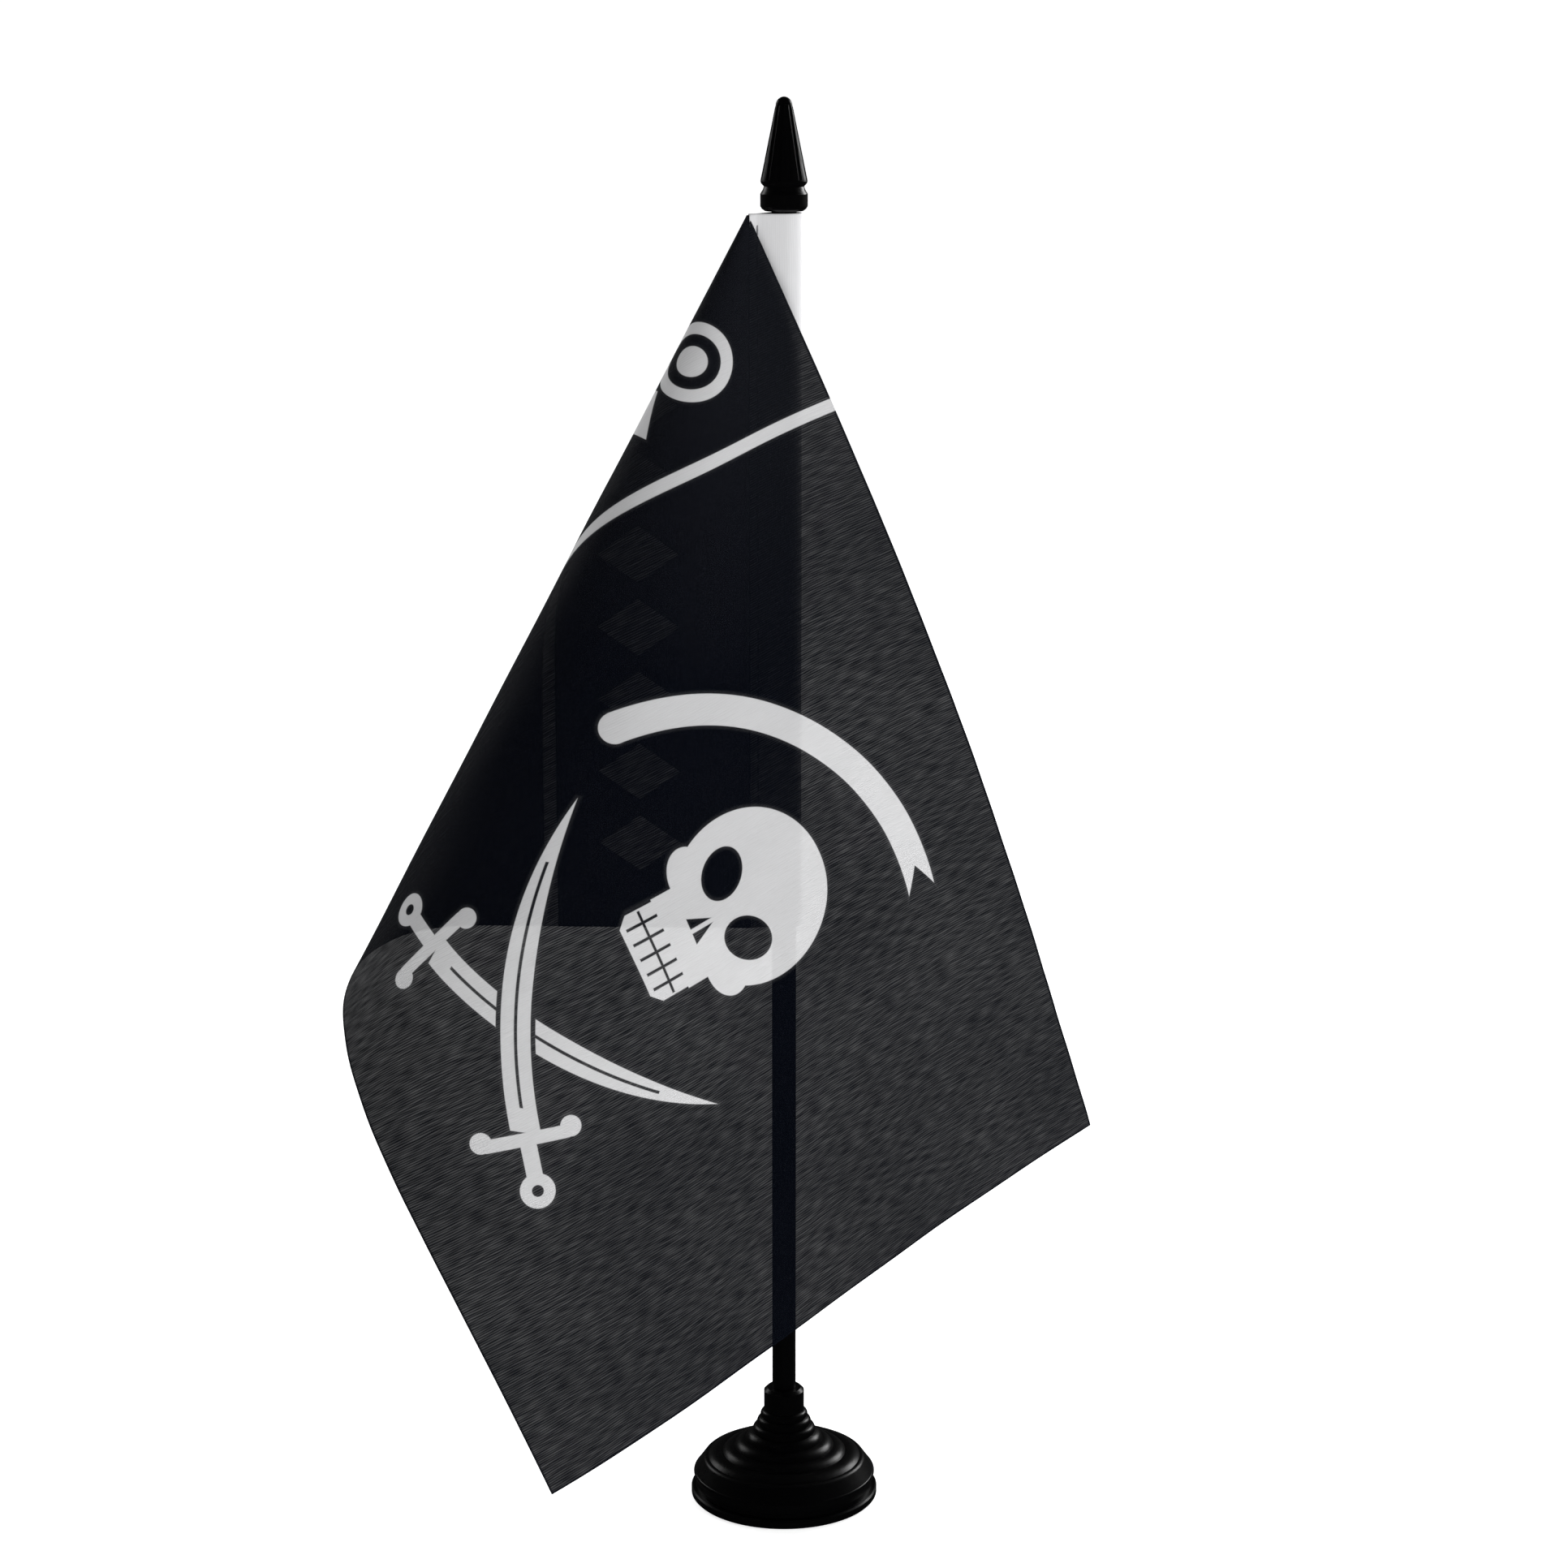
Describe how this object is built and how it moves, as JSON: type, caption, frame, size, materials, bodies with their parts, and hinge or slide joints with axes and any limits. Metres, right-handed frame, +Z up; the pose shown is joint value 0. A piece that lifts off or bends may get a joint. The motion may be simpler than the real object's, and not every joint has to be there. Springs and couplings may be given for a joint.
{
  "type": "desk flag stand",
  "caption": "Small desk flag hanging in a broad fold from a slim pole with a pointed finial, on a stepped round weighted base.",
  "frame": {"origin": "centre of the base underside, on the pole axis, where the foot pad meets the table", "axes": "+Z up along the pole; +Y away from the viewer the flag faces; +X to the viewer's right"},
  "size_m": [0.1475, 0.0858, 0.2837],
  "materials": {
    "base_plastic": "moulded, soft gloss",
    "ballast_steel": "plain turned disc",
    "pad_foam": "closed-cell foam",
    "pole_plastic": "drawn rod, soft gloss",
    "finial_plastic": "moulded, soft gloss",
    "sleeve_cloth": "white woven polyester",
    "seam_thread": "grey sewing thread",
    "flag_cloth": "black printed satin polyester"
  },
  "bodies": {
    "base": {"base_shell": "base_plastic", "base_plate": "base_plastic", "ballast_disc": "ballast_steel", "foot_pad": "pad_foam"},
    "pole": {"pole": "pole_plastic"},
    "finial": {"finial": "finial_plastic"},
    "flag": {"flag_sheet": "flag_cloth", "pole_sleeve": "sleeve_cloth", "sleeve_thread": "seam_thread"}
  },
  "joints": [
    {"name": "pole_lift", "type": "slide", "parent": "base", "child": "pole", "axis": [0, 0, 1], "range_m": [0, 0.03]},
    {"name": "finial_pull", "type": "slide", "parent": "pole", "child": "finial", "axis": [0, 0, 1], "range_m": [0, 0.014]},
    {"name": "flag_swivel", "type": "hinge", "parent": "pole", "child": "flag", "pos_m": [0, 0, 0.19], "axis": [0, 0, 1], "continuous": true}
  ]
}
